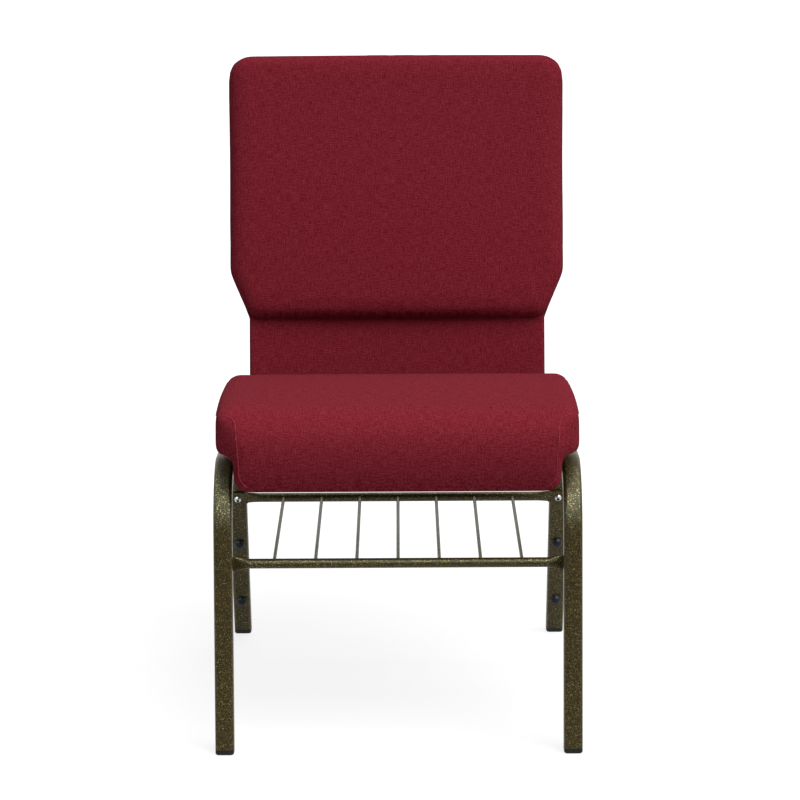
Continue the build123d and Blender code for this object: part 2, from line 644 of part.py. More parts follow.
nodes = {
    "front_cross_tube": seat_cross_tube(FRONT_CROSS_REACH),
    "rear_cross_tube": seat_cross_tube(REAR_CROSS_REACH),
    "back_cross_tube": back_cross_tube(),
    "back_hoop": back_hoop_drilled(),
    "rack_front_bar": rack_bar(FRONT_LEG, RACK_FRONT_UP, front=False),
    "rack_rear_bar": rack_bar(REAR_LEG, RACK_REAR_UP, front=True),
    "rack_screws": group([rack_screw(place) for place in rack_screw_places()]),
    "rack_rivet_nuts": group([rivet_nut(place) for place in rack_screw_places()]),
    "seat_board": seat_board(),
    "seat_foam": seat_foam(),
    "seat_lip_foam": seat_lip_foam(),
    "seat_cover": seat_cover(),
    "seat_dust_cover": seat_dust_cover(),
    "seat_spacers": group([seat_spacer(place) for place in seat_bolt_places()]),
    "seat_bolts": group([seat_bolt(place) for place in seat_bolt_places()]),
    "seat_tee_nuts": group([tee_nut(place) for place in seat_bolt_places()]),
    "back_board": back_board(),
    "back_board_screws": group([back_screw(place) for place in back_screw_places()]),
    "back_foam": back_foam(),
    "back_cover": back_cover(),
    "back_filler": back_filler(),
    "lower_back_pad": lower_back_pad(),
    "lower_back_cover": lower_back_cover(),
    "rear_panel_board": rear_panel_board(),
    "rear_panel_cover": rear_panel_cover(),
}
for name, side in SIDES.items():
    nodes["side_frame_" + name] = side_frame(side)
    nodes["front_glide_" + name] = glide(FRONT_LEG, side)
    nodes["rear_glide_" + name] = glide(REAR_LEG, side)
    nodes["lower_bumper_" + name] = leg_bumper(side, BUMPER_LOW)
    nodes["upper_bumper_" + name] = leg_bumper(side, BUMPER_HIGH)
for number in range(1, WIRE_COUNT + 1):
    nodes["rack_wire_" + str(number)] = rack_wire(number)

os.makedirs("parts", exist_ok=True)
for name, shape in nodes.items():
    export_step(shape, "parts/" + name + ".step")
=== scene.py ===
from math import cos, hypot, pi, radians, sin

import bmesh
import bpy
from mathutils import Matrix, Vector
from mathutils.bvhtree import BVHTree


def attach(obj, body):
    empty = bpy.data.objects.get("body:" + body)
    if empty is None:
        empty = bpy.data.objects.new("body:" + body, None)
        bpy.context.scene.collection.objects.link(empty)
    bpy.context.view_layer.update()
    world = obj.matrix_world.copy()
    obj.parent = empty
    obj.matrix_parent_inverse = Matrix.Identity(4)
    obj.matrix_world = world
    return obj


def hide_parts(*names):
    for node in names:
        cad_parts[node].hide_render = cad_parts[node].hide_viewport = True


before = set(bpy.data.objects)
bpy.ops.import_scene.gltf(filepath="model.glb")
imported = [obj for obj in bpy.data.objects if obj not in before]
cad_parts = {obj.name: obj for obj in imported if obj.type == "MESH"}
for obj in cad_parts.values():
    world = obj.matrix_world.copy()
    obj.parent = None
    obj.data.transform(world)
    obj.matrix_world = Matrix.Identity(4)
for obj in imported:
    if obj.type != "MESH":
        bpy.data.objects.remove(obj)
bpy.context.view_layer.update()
scene = bpy.context.scene

# Frame: two side frames of square steel tube, each bent into front leg, rail and rear leg,
# three cross tubes welded between them and the hoop that carries the back.
# All of it has one coat of dark brown powder with a gold hammered vein.
VEIN_DARK = (0.0050, 0.0030, 0.0007, 1)
VEIN_GOLD = (0.0400, 0.0235, 0.0035, 1)
VEIN_FLAKE = (0.270, 0.215, 0.085, 1)
VEIN_SHINE = (0.95, 0.95, 0.64, 1)
VEIN_SPECK = 620.0
VEIN_FLAKES = 820.0
VEIN_CLOUD = 60.0
VEIN_RELIEF = 0.00028
VEIN_LEAN = 0.12
VEIN_EDGE = (0.40, 0.62)
FLAKE_EDGE = (0.70, 0.60)
VEIN_ROUGH = (0.42, 0.32)
VEIN_GLOSS = 0.33
PAINTED_TUBES = ["side_frame_left", "side_frame_right", "front_cross_tube", "rear_cross_tube"]
PAINTED_TUBES += ["back_cross_tube", "back_hoop"]


def new_finish(name):
    """A material with one Principled shader, its node tree and that shader."""
    finish = bpy.data.materials.new(name)
    finish.use_nodes = True
    return finish, finish.node_tree, finish.node_tree.nodes["Principled BSDF"]


def add_node(tree, kind, inputs=None, **settings):
    """A shader node with its settings; each input is a value or the socket that feeds it."""
    node = tree.nodes.new(kind)
    for key, value in settings.items():
        setattr(node, key, value)
    for key, value in (inputs or {}).items():
        if isinstance(value, bpy.types.NodeSocket):
            tree.links.new(value, node.inputs[key])
        else:
            node.inputs[key].default_value = value
    return node


def spread(tree, value, low, high, start=0.0, end=1.0):
    """A value that goes from start to end while the input goes from low to high."""
    inputs = {"Value": value, "From Min": low, "From Max": high, "To Min": start, "To Max": end}
    return add_node(tree, "ShaderNodeMapRange", inputs, interpolation_type="SMOOTHSTEP").outputs[0]


def calculate(tree, operation, *values):
    """The result of one operation on numbers and sockets."""
    return add_node(tree, "ShaderNodeMath", dict(enumerate(values)), operation=operation).outputs[0]


def noise(tree, place, scale, detail):
    """A noise with so many grains per metre."""
    inputs = {"Vector": place, "Scale": scale, "Detail": detail}
    return add_node(tree, "ShaderNodeTexNoise", inputs).outputs[0]


def tint(tree, mask, dark, light):
    """A colour between two, by a mask."""
    node = add_node(tree, "ShaderNodeMix", {"Factor": mask}, data_type="RGBA")
    sockets = [socket for socket in node.inputs if socket.type == "RGBA"]
    sockets[0].default_value = dark
    if isinstance(light, bpy.types.NodeSocket):
        tree.links.new(light, sockets[1])
    else:
        sockets[1].default_value = light
    return [socket for socket in node.outputs if socket.type == "RGBA"][0]


def relief(tree, shader, height, depth):
    """A bump of the given depth in metres."""
    bump = add_node(tree, "ShaderNodeBump", {"Height": height, "Distance": depth, "Strength": 1.0})
    tree.links.new(bump.outputs["Normal"], shader.inputs["Normal"])


def give_finish(finish, *nodes):
    """Puts a finish on CAD nodes."""
    for node in nodes:
        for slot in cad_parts[node].material_slots:
            slot.material = finish


vein_paint, tree, shader = new_finish("vein_paint")
place = add_node(tree, "ShaderNodeTexCoord").outputs["Object"]
speck = noise(tree, place, VEIN_SPECK, 2.0)
cloud = noise(tree, place, VEIN_CLOUD, 1.0)
lean = calculate(tree, "MULTIPLY_ADD", cloud, VEIN_LEAN, -VEIN_LEAN / 2)
vein_mask = spread(tree, calculate(tree, "ADD", speck, lean), *VEIN_EDGE)
ground = tint(tree, vein_mask, VEIN_DARK, VEIN_GOLD)
bare = spread(tree, noise(tree, place, VEIN_FLAKES, 1.0), *FLAKE_EDGE)
tree.links.new(tint(tree, bare, VEIN_FLAKE, ground), shader.inputs["Base Color"])
tree.links.new(spread(tree, vein_mask, 0.0, 1.0, *VEIN_ROUGH), shader.inputs["Roughness"])
relief(tree, shader, speck, VEIN_RELIEF)
tree.links.new(spread(tree, bare, 0.0, 1.0, 1.0, 0.0), shader.inputs["Metallic"])
shader.inputs["Specular IOR Level"].default_value = VEIN_GLOSS
shader.inputs["Specular Tint"].default_value = VEIN_SHINE
give_finish(vein_paint, *PAINTED_TUBES)

# Book rack: two round bars with flattened ends, screwed to the legs, and seven wires
# welded between them. Same powder as the frame.
RACK_TUBES = ["rack_front_bar", "rack_rear_bar"]
RACK_TUBES += ["rack_wire_" + str(number) for number in range(1, 8)]
give_finish(vein_paint, *RACK_TUBES)

# Glides in the leg ends, stacking bumpers on the rear legs and the spacers under the seat
# board: moulded black plastic with a fine matt texture.
PLASTIC_BLACK = (0.0055, 0.0055, 0.0060, 1)
PLASTIC_WORN = (0.0120, 0.0120, 0.0130, 1)
PLASTIC_GRAIN = 1400.0
PLASTIC_RELIEF = 0.00006
PLASTIC_SCUFF = 90.0
SCUFF_EDGE = (0.45, 0.75)
NOISE_RANGE = (0.3, 0.7)
PLASTIC_ROUGH = (0.34, 0.5)
PLASTIC_GLOSS = 0.22
PLASTIC_PIECES = ["seat_spacers"]
for side in ("left", "right"):
    PLASTIC_PIECES += ["front_glide_" + side, "rear_glide_" + side]
    PLASTIC_PIECES += ["lower_bumper_" + side, "upper_bumper_" + side]

black_plastic, tree, shader = new_finish("black_plastic")
place = add_node(tree, "ShaderNodeTexCoord").outputs["Object"]
scuff = noise(tree, place, PLASTIC_SCUFF, 4.0)
worn = tint(tree, spread(tree, scuff, *SCUFF_EDGE), PLASTIC_BLACK, PLASTIC_WORN)
tree.links.new(worn, shader.inputs["Base Color"])
tree.links.new(spread(tree, scuff, *NOISE_RANGE, *PLASTIC_ROUGH), shader.inputs["Roughness"])
relief(tree, shader, noise(tree, place, PLASTIC_GRAIN, 1.0), PLASTIC_RELIEF)
shader.inputs["Specular IOR Level"].default_value = PLASTIC_GLOSS
give_finish(black_plastic, *PLASTIC_PIECES)

# Fixings: domed socket screws and rivet nuts of the rack, bolts and tee nuts of the seat
# and the screws of the back board. Steel with bright zinc plate, with painted shade in the sockets.
ZINC_BRIGHT = (0.62, 0.62, 0.60, 1)
ZINC_DULL = (0.44, 0.44, 0.42, 1)
# Painted shade: near black where the screw's own shape closes in round a point, as in the sockets
PAINTED_SOCKET_SHADE = (0.020, 0.020, 0.020, 1)
PAINTED_SHADE_REACH = 0.004
PAINTED_SHADE_EDGE = (0.45, 0.85)
ZINC_BLOOM = 350.0
BLOOM_EDGE = (0.35, 0.65)
ZINC_ROUGH = (0.24, 0.42)
FIXINGS = ["rack_screws", "rack_rivet_nuts", "seat_bolts", "seat_tee_nuts", "back_board_screws"]

zinc, tree, shader = new_finish("zinc_steel")
place = add_node(tree, "ShaderNodeTexCoord").outputs["Object"]
bloom = noise(tree, place, ZINC_BLOOM, 3.0)
plate = tint(tree, spread(tree, bloom, *BLOOM_EDGE), ZINC_BRIGHT, ZINC_DULL)
# painted shade: occlusion darkens the zinc colour in the socket hollows
shade_occlusion = add_node(tree, "ShaderNodeAmbientOcclusion", {"Distance": PAINTED_SHADE_REACH}, only_local=True)
painted_shade_mask = spread(tree, shade_occlusion.outputs["AO"], *PAINTED_SHADE_EDGE)
tree.links.new(tint(tree, painted_shade_mask, PAINTED_SOCKET_SHADE, plate), shader.inputs["Base Color"])
tree.links.new(spread(tree, bloom, *NOISE_RANGE, *ZINC_ROUGH), shader.inputs["Roughness"])
shader.inputs["Metallic"].default_value = 1.0
give_finish(zinc, *FIXINGS)

# Boards: plywood under the seat and in the back, with the grain across the chair, and a
# sheet of brown hardboard behind the hoop. All of them raw, and wrapped by the upholstery.
PLY_PALE = (0.60, 0.44, 0.27, 1)
PLY_BROWN = (0.40, 0.26, 0.14, 1)
HARD_PALE = (0.24, 0.15, 0.085, 1)
HARD_BROWN = (0.13, 0.075, 0.04, 1)
PLY_STRETCH, PLY_GRAIN = 14.0, 220.0
HARD_STRETCH, HARD_GRAIN = 1.5, 700.0
BOARD_EDGE = (0.35, 0.68)
BOARD_ROUGH = (0.62, 0.8)
BOARD_RELIEF = 0.0002


def board_finish(name, pale, brown, stretch, grain_scale):
    """Raw board: streaks or fibres stretched along X."""
    finish, tree, shader = new_finish(name)
    place = add_node(tree, "ShaderNodeTexCoord").outputs["Object"]
    along = add_node(tree, "ShaderNodeMapping", {"Vector": place, "Scale": (1 / stretch, 1, 1)})
    inputs = {"Vector": along.outputs[0], "Scale": grain_scale, "Detail": 5.0, "Distortion": 0.6}
    grain = add_node(tree, "ShaderNodeTexNoise", inputs).outputs[0]
    tree.links.new(tint(tree, spread(tree, grain, *BOARD_EDGE), pale, brown), shader.inputs["Base Color"])
    tree.links.new(spread(tree, grain, *NOISE_RANGE, *BOARD_ROUGH), shader.inputs["Roughness"])
    relief(tree, shader, grain, BOARD_RELIEF)
    return finish


plywood = board_finish("plywood", PLY_PALE, PLY_BROWN, PLY_STRETCH, PLY_GRAIN)
hardboard = board_finish("hardboard", HARD_PALE, HARD_BROWN, HARD_STRETCH, HARD_GRAIN)
give_finish(plywood, "seat_board", "back_board")
give_finish(hardboard, "rear_panel_board")

# Seat cushion: moulded foam on the seat board, with a rolled front and a lip that hangs
# between the front legs. The burgundy cover is a top-and-front panel sewn to two side
# boxings, which wrap round the front corners. Its cloth is painted a little lighter than the back's, as
# painted light.
SEAT_PLACE = Matrix.Translation((0, -0.24455, 0.37095)) @ Matrix.Rotation(radians(-5), 4, "X")
SEAT_HALF = 0.2310
SEAT_TOP = 0.0732
SEAT_FLOOR = 0.012
SEAT_REAR = 0.347
ROLL_Y = -0.003
ROLL_Z = 0.0272
ROLL_RADIUS = 0.046
TUCK_Y = 0.038
TUCK_RADIUS = 0.087
SEAT_FRONT = -0.049
LIP_HALF = 0.209
CORNER_AT_TOP = 0.010
CORNER_AT_FRONT = 0.014
BOXING_START = 0.2040
BOXING_SLOPE = 1.0
BOXING_REACH = 0.060
BOXING_TOP = 0.071
BOXING_EDGE = 0.034
SIDE_FULL = 0.0028
SIDE_RISE = (0.03, 0.05)
SIDE_BLEND = 0.015
TACK_BOARD = 0.014
TACK_SIDE = 0.006
LIP_HOLD = 0.8
SEAT_SWELL = 0.0020
SEAT_VOXEL = 0.005
UNDER_REACH, UNDER_DEPTH, UNDER_ROUNDS = 0.016, 0.004, 8
FACE_DEPTH, FACE_LOW, FACE_HIGH, FACE_ROUNDS = -0.026, -0.022, 0.034, 6
LAST_SMOOTH = 0.3
COVER = 0.0012
COVER_PRESSURE = 4.0
COVER_STIFFNESS = 4.0
COVER_STEPS = 20
YARN = 0.0009
SIDE_FACING = 0.72
WEFT_SLUB, WEFT_SHARE = (90.0, 900.0), 1.6
WARP_SLUB, WARP_SHARE = (900.0, 70.0), 1.3
FLECKS, FLECK_SHARE = (620.0, 620.0), 2.4
PLAIT_SHARE = 0.16
PLAIT_RISE, SLUB_RISE = 0.35, 0.5
FABRIC_DARK = (0.112, 0.0045, 0.0105, 1)
FABRIC_LIGHT = (0.205, 0.0240, 0.0360, 1)
# Painted light: the seat's cloth is the back's burgundy made about 9 % lighter
SEAT_LIGHTENED_DARK = (0.122, 0.0052, 0.0118, 1)
SEAT_LIGHTENED_LIGHT = (0.222, 0.0270, 0.0395, 1)
# Painted highlight: the seam ridges take the same cloth about a third lighter
SEAM_HIGHLIT_DARK = (0.150, 0.0090, 0.0180, 1)
SEAM_HIGHLIT_LIGHT = (0.290, 0.0450, 0.0600, 1)
FABRIC_RELIEF = 0.00026
FABRIC_ROUGH = (0.95, 0.85)
FABRIC_SHEEN = 0.02
SHEEN_ROUGH = 0.4

# Side seam on the right, from the rear along the edge of the top and down beside the front
SEAM_PATH = [
    (0.2290, 0.335, 0.0640), (0.2290, 0.250, 0.0640), (0.2290, 0.150, 0.0640),
    (0.2290, 0.060, 0.0640), (0.2290, 0.000, 0.0630), (0.2260, -0.014, 0.0625),
    (0.2180, -0.024, 0.0620), (0.2080, -0.030, 0.0600), (0.2045, -0.036, 0.0560),
    (0.2035, -0.043, 0.0470), (0.2035, -0.048, 0.0350), (0.2035, -0.049, 0.0250),
    (0.2040, -0.047, 0.0050), (0.2030, -0.042, -0.0120), (0.1980, -0.037, -0.0240),
    (0.1900, -0.034, -0.0310),
]
SEAM_RADIUS = 0.0010
SEAM_PROUD = 0.35
SEAM_STEP = 0.006


def weave_group():
    """Plain weave of melange yarns: its shade and its height. Threads run across and up the
    front, top and rear of a piece, and along and up its sides."""
    group = bpy.data.node_groups.new("weave", "ShaderNodeTree")
    sockets = group.interface
    sockets.new_socket("Yarn", in_out="INPUT", socket_type="NodeSocketFloat")
    sockets.new_socket("Shade", in_out="OUTPUT", socket_type="NodeSocketFloat")
    sockets.new_socket("Height", in_out="OUTPUT", socket_type="NodeSocketFloat")
    start = add_node(group, "NodeGroupInput")
    end = add_node(group, "NodeGroupOutput")

    def math(operation, *values):
        return calculate(group, operation, *values)

    place = add_node(group, "ShaderNodeTexCoord")
    point = add_node(group, "ShaderNodeSeparateXYZ", {0: place.outputs["Object"]})
    facing = add_node(group, "ShaderNodeSeparateXYZ", {0: place.outputs["Normal"]})
    is_side = math("GREATER_THAN", math("ABSOLUTE", facing.outputs[0]), SIDE_FACING)
    is_front = math("SUBTRACT", 1.0, is_side)
    along_front = math("MULTIPLY", point.outputs[0], is_front)
    across = math("ADD", along_front, math("MULTIPLY", point.outputs[1], is_side))
    rise = math("ADD", point.outputs[2], math("MULTIPLY", point.outputs[1], is_front))

    def streaks(scale_across, scale_rise, detail):
        inputs = {0: math("MULTIPLY", across, scale_across), 1: math("MULTIPLY", rise, scale_rise)}
        inputs[2] = is_side
        return noise(group, add_node(group, "ShaderNodeCombineXYZ", inputs).outputs[0], 1.0, detail)

    turns = math("DIVIDE", 2 * pi, start.outputs["Yarn"])
    warp = math("SINE", math("MULTIPLY", across, turns))
    weft = math("SINE", math("MULTIPLY", rise, turns))
    plait = math("MULTIPLY", warp, weft)
    weft_slub = streaks(*WEFT_SLUB, 2.0)
    warp_slub = streaks(*WARP_SLUB, 2.0)
    flecks = streaks(*FLECKS, 1.0)
    shade = math("MULTIPLY_ADD", math("SUBTRACT", weft_slub, 0.5), WEFT_SHARE, 0.5)
    shade = math("MULTIPLY_ADD", math("SUBTRACT", warp_slub, 0.5), WARP_SHARE, shade)
    shade = math("MULTIPLY_ADD", math("SUBTRACT", flecks, 0.5), FLECK_SHARE, shade)
    shade = math("MULTIPLY_ADD", plait, PLAIT_SHARE, shade)
    group.links.new(math("MINIMUM", math("MAXIMUM", shade, 0.0), 1.0), end.inputs["Shade"])
    slubs = math("MULTIPLY", math("ADD", weft_slub, warp_slub), SLUB_RISE)
    group.links.new(math("MULTIPLY_ADD", plait, PLAIT_RISE, slubs), end.inputs["Height"])
    return group


weave = weave_group()


def woven_finish(name, yarn, dark, light, depth):
    """Cloth in the plain weave."""
    finish, tree, shader = new_finish(name)
    cloth = add_node(tree, "ShaderNodeGroup", node_tree=weave)
    cloth.inputs["Yarn"].default_value = yarn
    shade = cloth.outputs["Shade"]
    tree.links.new(tint(tree, shade, dark, light), shader.inputs["Base Color"])
    tree.links.new(spread(tree, shade, 0.0, 1.0, *FABRIC_ROUGH), shader.inputs["Roughness"])
    relief(tree, shader, cloth.outputs["Height"], depth)
    shader.inputs["Specular IOR Level"].default_value = 0.0
    shader.inputs["Sheen Weight"].default_value = FABRIC_SHEEN
    shader.inputs["Sheen Roughness"].default_value = SHEEN_ROUGH
    return finish


upholstery = woven_finish("upholstery", YARN, FABRIC_DARK, FABRIC_LIGHT, FABRIC_RELIEF)
# the seat's cloth is a lighter copy of the upholstery, painted light
seat_cloth_painted_light = woven_finish("seat_upholstery_painted_light", YARN, SEAT_LIGHTENED_DARK, SEAT_LIGHTENED_LIGHT, FABRIC_RELIEF)
# the seams' cloth is a lighter copy of the upholstery, a painted highlight
seam_cloth_painted_highlight = woven_finish("seam_upholstery_painted_highlight", YARN, SEAM_HIGHLIT_DARK, SEAM_HIGHLIT_LIGHT, FABRIC_RELIEF)


def new_piece(name, bm, finish):
    """An object at the origin that holds a finished bmesh."""
    mesh = bpy.data.meshes.new(name)
    bm.to_mesh(mesh)
    bm.free()
    mesh.materials.clear()
    mesh.materials.append(finish)
    mesh.polygons.foreach_set("use_smooth", [True] * len(mesh.polygons))
    piece = bpy.data.objects.new(name, mesh)
    scene.collection.objects.link(piece)
    return piece


def apply_modifiers(piece):
    """Makes a piece's modifiers part of its mesh."""
    shown = piece.evaluated_get(bpy.context.evaluated_depsgraph_get())
    mesh = bpy.data.meshes.new_from_object(shown)
    piece.modifiers.clear()
    piece.data = mesh
    mesh.polygons.foreach_set("use_smooth", [True] * len(mesh.polygons))


def foam_piece(name, voxel, finish, *nodes):
    """One even closed mesh round the foam of CAD nodes."""
    bm = bmesh.new()
    for node in nodes:
        bm.from_mesh(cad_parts[node].data)
    bmesh.ops.remove_doubles(bm, verts=bm.verts, dist=1e-5)
    piece = new_piece(name, bm, finish)
    even = piece.modifiers.new("even", "REMESH")
    even.mode = "VOXEL"
    even.voxel_size = voxel
    apply_modifiers(piece)
    return piece


def swell(piece, held, limit):
    """Covers the foam with cloth under pressure. Held says how firmly a point is held, 0 to
    1, and limit is the furthest that a free point rises."""
    points = piece.data.vertices
    firm = [held(point.co) for point in points]
    outward = [point.normal.copy() for point in points]
    start = [point.co + out * COVER * (1 - hold) for point, out, hold in zip(points, outward, firm)]
    for point, spot in zip(points, start):
        point.co = spot
    group = piece.vertex_groups.new(name="held")
    for index, hold in enumerate(firm):
        group.add([index], hold, "REPLACE")
    cloth = piece.modifiers.new("cover", "CLOTH")
    cloth.settings.use_pressure = True
    cloth.settings.uniform_pressure_force = COVER_PRESSURE
    cloth.settings.vertex_group_mass = "held"
    cloth.settings.effector_weights.gravity = 0
    cloth.settings.bending_stiffness = COVER_STIFFNESS
    cloth.settings.quality = 4
    cloth.point_cache.frame_start = 1
    cloth.point_cache.frame_end = COVER_STEPS
    for step in range(1, COVER_STEPS + 1):
        scene.frame_set(step)
    apply_modifiers(piece)
    scene.frame_set(1)
    piece.vertex_groups.clear()
    for point, was, out in zip(piece.data.vertices, start, outward):
        rise = (point.co - was).dot(out)
        point.co = was + out * min(max(rise, 0), limit)


def smooth_points(piece, reach, rounds, factor=0.5):
    """Evens out the points for which reach gives true."""
    bm = bmesh.new()
    bm.from_mesh(piece.data)
    points = [point for point in bm.verts if reach(point.co)]
    every_axis = {"use_axis_x": True, "use_axis_y": True, "use_axis_z": True}
    for turn in range(rounds):
        bmesh.ops.smooth_vert(bm, verts=points, factor=factor, **every_axis)
    bm.to_mesh(piece.data)
    bm.free()


def refine(piece):
    """One level of subdivision, made part of the mesh."""
    finer = piece.modifiers.new("finer", "SUBSURF")
    finer.levels = 1
    finer.render_levels = 1
    apply_modifiers(piece)


def seat_depth(y, z):
    """How deep a point of the seat lies below the top, the roll or the front, and how far
    round the roll it is, 0 on top to 1 at the front."""
    if y > ROLL_Y and z < ROLL_Z:
        return SEAT_HALF, 0.0
    if z < ROLL_Z:
        return TUCK_RADIUS - hypot(TUCK_Y - y, ROLL_Z - z), 1.0
    if y < ROLL_Y:
        reach = hypot(y - ROLL_Y, z - ROLL_Z)
        return ROLL_RADIUS - reach, (ROLL_Y - y) / max(reach, 0.001)
    return SEAT_TOP - z, 0.0


def round_front_corners(piece):
    """Draws the front corners of the seat in to a wider rounding."""
    to_seat = SEAT_PLACE.inverted()
    for point in piece.data.vertices:
        x, y, z = to_seat @ point.co
        depth, turn = seat_depth(y, z)
        half = SEAT_HALF if z > SEAT_FLOOR else LIP_HALF
        radius = CORNER_AT_TOP + (CORNER_AT_FRONT - CORNER_AT_TOP) * turn
        out = abs(x) - (half - radius)
        up = radius - depth
        if out > 0 and up > 0 and hypot(out, up) > radius:
            shrink = radius / hypot(out, up)
            pull = up * (1 - shrink)
            x -= (out * (1 - shrink)) * (1 if x > 0 else -1)
            if z < ROLL_Z:
                y += pull
            elif y < ROLL_Y:
                away = Vector((y - ROLL_Y, z - ROLL_Z))
                away *= 1 - pull / max(away.length, 0.001)
                y, z = ROLL_Y + away.x, ROLL_Z + away.y
            else:
                z -= pull
            point.co = SEAT_PLACE @ Vector((x, y, z))


def ease(value, low, high):
    """Goes smoothly from 0 to 1 while the value goes from low to high."""
    share = min(max((value - low) / (high - low), 0), 1)
    return share * share * (3 - 2 * share)


def shape_boxing(piece):
    """Fills the sides between front and rear, and draws the boxing back from the seam at
    each front corner."""
    to_seat = SEAT_PLACE.inverted()
    for point in piece.data.vertices:
        x, y, z = to_seat @ point.co
        side = 1 if x > 0 else -1
        out = abs(x) - BOXING_START
        if out > 0:
            along = min(max(y / SEAT_REAR, 0), 1)
            x += side * SIDE_FULL * sin(pi * along) * ease(z, *SIDE_RISE) * ease(out, 0, SIDE_BLEND)
            if y < BOXING_REACH:
                below = ease(z, BOXING_TOP, BOXING_TOP - BOXING_EDGE)
                near = min((BOXING_REACH - y) / (BOXING_REACH - SEAT_FRONT), 1)
                y += out * BOXING_SLOPE * near * below
            point.co = SEAT_PLACE @ Vector((x, y, z))


def seat_held(point):
    """The seat's cover is held along its lower edge, round the board and behind the lip."""
    x, y, z = SEAT_PLACE.inverted() @ point
    if z < SEAT_FLOOR + TACK_BOARD and y > 0:
        return 1.0
    if abs(x) > LIP_HALF and z < SEAT_FLOOR + TACK_SIDE:
        return 1.0
    if z < SEAT_FLOOR:
        return LIP_HOLD
    return 0.0


seat_cushion = foam_piece("seat_cushion", SEAT_VOXEL, seat_cloth_painted_light, "seat_foam", "seat_lip_foam")
round_front_corners(seat_cushion)
shape_boxing(seat_cushion)
swell(seat_cushion, seat_held, SEAT_SWELL)


def under_corner(point):
    """Where the side boxing turns into the side of the lip."""
    x, y, z = SEAT_PLACE.inverted() @ point
    return hypot(abs(x) - LIP_HALF, z - SEAT_FLOOR) < UNDER_REACH and y < UNDER_DEPTH


def front_face(point):
    """The front of the seat, from the roll down to the lip."""
    x, y, z = SEAT_PLACE.inverted() @ point
    return y < FACE_DEPTH and FACE_LOW < z < FACE_HIGH


smooth_points(seat_cushion, under_corner, UNDER_ROUNDS)
smooth_points(seat_cushion, front_face, FACE_ROUNDS)
smooth_points(seat_cushion, lambda point: True, 1, LAST_SMOOTH)
refine(seat_cushion)
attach(seat_cushion, "root")
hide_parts("seat_cover", "seat_foam", "seat_lip_foam")


def seam(name, piece, path, radius):
    """A sewn ridge that follows a piece's surface along a path."""
    bm = bmesh.new()
    bm.from_mesh(piece.data)
    surface = BVHTree.FromBMesh(bm)
    bm.free()
    curve = bpy.data.curves.new(name, "CURVE")
    curve.dimensions = "3D"
    curve.bevel_depth = radius
    curve.bevel_resolution = 2
    curve.use_fill_caps = True
    line = curve.splines.new("NURBS")
    steps = []
    for first, second in zip(path, path[1:]):
        count = max(1, int((second - first).length / SEAM_STEP))
        steps += [first.lerp(second, step / count) for step in range(count)]
    steps.append(path[-1])
    line.points.add(len(steps) - 1)
    for spot, step in zip(line.points, steps):
        on_surface, normal = surface.find_nearest(step)[:2]
        spot.co = (on_surface + normal * radius * SEAM_PROUD).to_4d()
    line.order_u = 4
    line.use_endpoint_u = True
    ridge = bpy.data.objects.new(name, curve)
    scene.collection.objects.link(ridge)
    shown = ridge.evaluated_get(bpy.context.evaluated_depsgraph_get())
    mesh = bpy.data.meshes.new_from_object(shown)
    bpy.data.objects.remove(ridge)
    bm = bmesh.new()
    bm.from_mesh(mesh)
    # the ridge takes the lighter seam cloth, a painted highlight
    return new_piece(name, bm, seam_cloth_painted_highlight)


for side, mirror in (("left", -1), ("right", 1)):
    path = [SEAT_PLACE @ Vector((mirror * x, y, z)) for x, y, z in SEAM_PATH]
    ridge = seam("seat_seam_" + side, seat_cushion, path, SEAM_RADIUS)
    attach(ridge, "root")

# Dust cover: black non-woven cloth stapled under the seat board. It sags a little between
# its edges.
DUST_DARK = (0.010, 0.010, 0.010, 1)
DUST_LIGHT = (0.030, 0.030, 0.031, 1)
DUST_SAG = 0.003
DUST_CUTS = 24
DUST_FIBRE = 900.0
DUST_EDGE = (0.35, 0.7)
DUST_ROUGH = (0.8, 0.95)
DUST_RELIEF = 0.0003


def slice_at(bm, axis, spot):
    """Cuts a mesh across one axis, 0 for X or 1 for Y."""
    origin, normal = Vector(), Vector()
    origin[axis] = spot
    normal[axis] = 1
    parts = bm.verts[:] + bm.edges[:] + bm.faces[:]
    bmesh.ops.bisect_plane(bm, geom=parts, dist=1e-6, plane_co=origin, plane_no=normal)


dust_cloth, tree, shader = new_finish("dust_cover")
place = add_node(tree, "ShaderNodeTexCoord").outputs["Object"]
fibres = noise(tree, place, DUST_FIBRE, 4.0)
felt = tint(tree, spread(tree, fibres, *DUST_EDGE), DUST_DARK, DUST_LIGHT)
tree.links.new(felt, shader.inputs["Base Color"])
tree.links.new(spread(tree, fibres, *NOISE_RANGE, *DUST_ROUGH), shader.inputs["Roughness"])
relief(tree, shader, fibres, DUST_RELIEF)

bm = bmesh.new()
bm.from_mesh(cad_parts["seat_dust_cover"].data)
bmesh.ops.remove_doubles(bm, verts=bm.verts, dist=1e-5)
bm.transform(SEAT_PLACE.inverted())
low_x, high_x = min(v.co.x for v in bm.verts), max(v.co.x for v in bm.verts)
low_y, high_y = min(v.co.y for v in bm.verts), max(v.co.y for v in bm.verts)
dust_size = (high_x - low_x, high_y - low_y)
dust_area = sum(face.calc_area() for face in bm.faces if face.normal.z > 0.9)
for cut in range(1, DUST_CUTS):
    share = cut / DUST_CUTS
    slice_at(bm, 0, low_x + share * dust_size[0])
    slice_at(bm, 1, low_y + share * dust_size[1])
for point in bm.verts:
    share_x = (point.co.x - low_x) / dust_size[0]
    share_y = (point.co.y - low_y) / dust_size[1]
    point.co.z -= DUST_SAG * sin(pi * share_x) * sin(pi * share_y)
bm.transform(SEAT_PLACE)
dust_cover = new_piece("dust_cover", bm, dust_cloth)
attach(dust_cover, "root")
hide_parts("seat_dust_cover")

